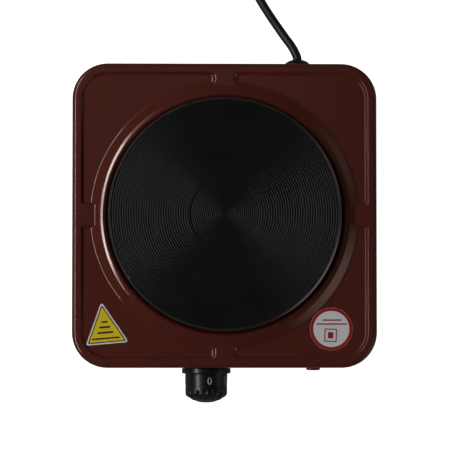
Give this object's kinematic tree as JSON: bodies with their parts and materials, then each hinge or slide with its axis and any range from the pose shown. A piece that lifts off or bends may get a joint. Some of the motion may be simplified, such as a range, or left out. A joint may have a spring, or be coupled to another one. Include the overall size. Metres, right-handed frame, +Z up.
{
  "type": "hot plate burner",
  "caption": "Portable single electric hot plate: square pressed steel housing with a raised ring, round ribbed cast iron plate, front thermostat knob, lamp, coiled mains lead and plug.",
  "frame": {"origin": "on the floor, at the middle of the object's box without its lead", "axes": "+Z up, -Y towards the front with the knob, +X to the right as seen from the front"},
  "size_m": [0.288, 0.4509, 0.072],
  "materials": {
    "brown_enamel": "gloss",
    "cast_iron": "satin black, machined rings",
    "black_plastic": "gloss",
    "rubber": "matte",
    "zinc_steel": "zinc plated",
    "nichrome": "dull oxidised wire",
    "ceramic": "unglazed off-white ceramic",
    "brass": "plain",
    "nickel": "nickel plated",
    "red_lens": "clear red, gloss",
    "bulb_glass": "clear",
    "cord_sheath": "soft gloss PVC",
    "brown_wire": "soft PVC",
    "blue_wire": "soft PVC",
    "earth_wire": "soft PVC, green and yellow",
    "yellow_label": "printed vinyl film",
    "white_label": "printed vinyl film with a red rim"
  },
  "bodies": {
    "housing": {"base_plate": "zinc_steel", "bimetal_strip": "nickel", "centre_stud": "zinc_steel", "ceramic_bush_inner": "ceramic", "ceramic_bush_outer": "ceramic", "clamp_bar": "zinc_steel", "contact_blade": "brass", "contact_screw": "brass", "contact_spacer": "ceramic", "cord_coil": "cord_sheath", "cord_grommet": "black_plastic", "cord_inner_end": "cord_sheath", "cord_tail": "cord_sheath", "cord_tie": "rubber", "cover_nut": "zinc_steel", "earth_lug": "brass", "earth_screw": "brass", "element_cover": "zinc_steel", "foot_front_left": "rubber", "foot_front_right": "rubber", "foot_rear_left": "rubber", "foot_rear_right": "rubber", "foot_screw_front_left": "zinc_steel", "foot_screw_front_right": "zinc_steel", "foot_screw_rear_left": "zinc_steel", "foot_screw_rear_right": "zinc_steel", "heating_coil": "nichrome", "hot_plate": "cast_iron", "insulating_filler": "ceramic", "lamp_lens": "red_lens", "lamp_retainer": "zinc_steel", "neon_bulb": "bulb_glass", "plug_body": "black_plastic", "plug_earth_strip_bottom": "brass", "plug_earth_strip_top": "brass", "plug_pin_left": "nickel", "plug_pin_right": "nickel", "power_cord": "cord_sheath", "round_sticker": "white_label", "stud_nut": "zinc_steel", "stud_washer": "zinc_steel", "terminal_pin_inner": "nickel", "terminal_pin_outer": "nickel", "thermostat_body": "ceramic", "thermostat_bracket": "zinc_steel", "thermostat_screw_left": "zinc_steel", "thermostat_screw_right": "zinc_steel", "top_housing": "brown_enamel", "triangle_sticker": "yellow_label", "wire_earth": "earth_wire", "wire_lamp_live": "brown_wire", "wire_lamp_neutral": "blue_wire", "wire_live": "brown_wire", "wire_neutral": "blue_wire", "wire_switched": "brown_wire"},
    "knob": {"knob": "black_plastic", "knob_spring_sleeve": "zinc_steel", "thermostat_spindle": "zinc_steel"},
    "adjusting_pin": {"adjusting_pin": "ceramic"}
  },
  "joints": [
    {"name": "knob_turn", "type": "hinge", "parent": "housing", "child": "knob", "pos_m": [-0.014, -0.1091, 0.035], "axis": [0, 1, 0], "range_deg": [0, 300]},
    {"name": "pin_travel", "type": "slide", "parent": "housing", "child": "adjusting_pin", "axis": [0, 1, 0], "range_m": [0, 0.0006]}
  ],
  "couplings": [
    {"joint": "pin_travel", "follows": "knob_turn", "m_per_rad": 0.0001145}
  ]
}
